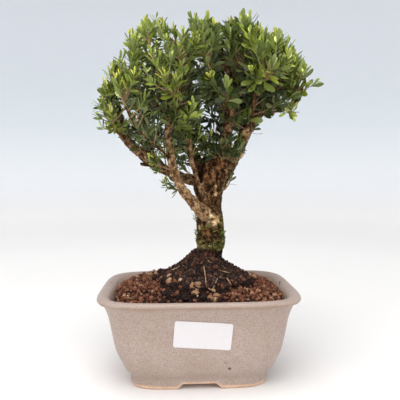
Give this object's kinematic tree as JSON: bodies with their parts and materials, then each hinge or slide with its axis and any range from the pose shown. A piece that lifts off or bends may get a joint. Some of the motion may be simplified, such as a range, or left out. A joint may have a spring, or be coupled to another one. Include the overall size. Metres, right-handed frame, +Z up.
{
  "type": "boxwood bonsai in a ceramic pot",
  "caption": "Small boxwood bonsai with a forked trunk, spreading limbs and leafy sprays, standing in granules and peat in a rectangular glazed pot with a blank label.",
  "frame": {"origin": "middle of the object's box, at the height that the pot's feet stand on", "axes": "+Z up along the trunk, +X to the right of someone facing the labelled front, -Y towards them"},
  "size_m": [0.1764, 0.1246, 0.2818],
  "materials": {
    "glaze": "semi-matt",
    "label_paper": "matt",
    "screen_mesh": "matt",
    "granules": "rough",
    "peat": "rough",
    "bark": "rough",
    "leaf": "satin"
  },
  "bodies": {
    "root": {"pot": "glaze", "label": "label_paper", "drain_screen_left": "screen_mesh", "drain_screen_right": "screen_mesh", "granule_bed": "granules", "root_ball": "peat", "trunk_and_limbs": "bark", "spray_01": "leaf", "spray_02": "leaf", "spray_03": "leaf", "spray_04": "leaf", "spray_05": "leaf", "spray_06": "leaf", "spray_07": "leaf", "spray_08": "leaf", "spray_09": "leaf", "spray_10": "leaf", "spray_11": "leaf", "spray_12": "leaf", "spray_13": "leaf", "spray_14": "leaf", "spray_15": "leaf", "spray_16": "leaf", "spray_17": "leaf", "spray_18": "leaf", "spray_19": "leaf", "spray_20": "leaf", "spray_21": "leaf", "spray_22": "leaf", "spray_23": "leaf", "spray_24": "leaf", "spray_25": "leaf", "spray_26": "leaf", "spray_27": "leaf", "spray_28": "leaf", "spray_29": "leaf", "spray_30": "leaf", "spray_31": "leaf", "spray_32": "leaf", "spray_33": "leaf", "spray_34": "leaf", "spray_35": "leaf", "spray_36": "leaf", "spray_37": "leaf", "spray_38": "leaf", "spray_39": "leaf", "spray_41": "leaf", "spray_42": "leaf", "spray_43": "leaf", "spray_44": "leaf", "spray_45": "leaf", "spray_46": "leaf", "spray_47": "leaf", "spray_48": "leaf", "spray_49": "leaf", "spray_50": "leaf", "spray_51": "leaf", "spray_52": "leaf"}
  },
  "joints": []
}
